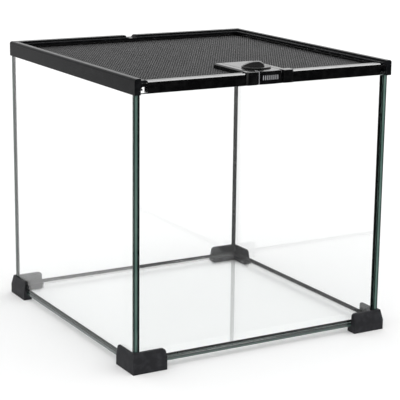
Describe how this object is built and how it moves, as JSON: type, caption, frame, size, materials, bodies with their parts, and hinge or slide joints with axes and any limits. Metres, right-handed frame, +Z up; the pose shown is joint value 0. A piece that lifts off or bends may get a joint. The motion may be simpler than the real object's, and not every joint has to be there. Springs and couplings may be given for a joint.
{
  "type": "glass pet tank with sliding mesh lid",
  "caption": "Cube glass tank with black corner feet, a black top frame and a mesh lid that slides forward out of grooved rails and locks with a twist knob.",
  "frame": {"origin": "centre of the footprint, on the floor", "axes": "+Z up, -Y towards the front, which carries the lock and which the lid slides out of, +X to the right of a person who faces the front"},
  "size_m": [0.3072, 0.314, 0.3006],
  "materials": {
    "glass": "clear float glass, green at its cut edges",
    "silicone": "black silicone, slightly glossy",
    "foot_plastic": "fine-grained moulded plastic",
    "rail_plastic": "satin extruded plastic",
    "lid_plastic": "satin extruded plastic",
    "mesh": "black coated expanded metal",
    "lock_plastic": "semi-gloss moulded plastic",
    "knob_plastic": "semi-gloss moulded plastic",
    "screw_steel": "zinc plated"
  },
  "bodies": {
    "tank": {"base_pane": "glass", "left_pane": "glass", "right_pane": "glass", "front_pane": "glass", "back_pane": "glass", "corner_bead_front_left": "silicone", "corner_bead_front_right": "silicone", "corner_bead_back_left": "silicone", "corner_bead_back_right": "silicone", "base_bead_front": "silicone", "base_bead_back": "silicone", "base_bead_left": "silicone", "base_bead_right": "silicone", "foot_front_left": "foot_plastic", "foot_front_right": "foot_plastic", "foot_back_left": "foot_plastic", "foot_back_right": "foot_plastic", "left_rail": "rail_plastic", "right_rail": "rail_plastic", "back_rail": "rail_plastic"},
    "lid": {"lid_front_bar": "lid_plastic", "bar_end_left": "lid_plastic", "bar_end_right": "lid_plastic", "lid_left_runner": "lid_plastic", "lid_right_runner": "lid_plastic", "lid_rear_bar": "lid_plastic", "mesh_screen": "mesh", "lock_housing": "lock_plastic", "lock_cover": "lock_plastic", "lock_screws": "screw_steel", "clip_left": "lock_plastic", "clip_right": "lock_plastic", "lock_badge": "lock_plastic"},
    "knob": {"lock_knob": "knob_plastic", "lock_cam": "knob_plastic", "cam_screw": "screw_steel"},
    "bolt": {"lock_bolt": "knob_plastic"}
  },
  "joints": [
    {"name": "lid_slide", "type": "slide", "parent": "tank", "child": "lid", "axis": [0, -1, 0], "range_m": [0, 0.27]},
    {"name": "knob_twist", "type": "hinge", "parent": "lid", "child": "knob", "pos_m": [0, -0.129, 0.2935], "axis": [0, 0, 1], "range_deg": [0, 90]},
    {"name": "bolt_drop", "type": "slide", "parent": "lid", "child": "bolt", "axis": [0, 0, -1], "range_m": [0, 0.005]}
  ],
  "couplings": [
    {"joint": "bolt_drop", "follows": "knob_twist", "m_per_rad": 0.003183}
  ]
}
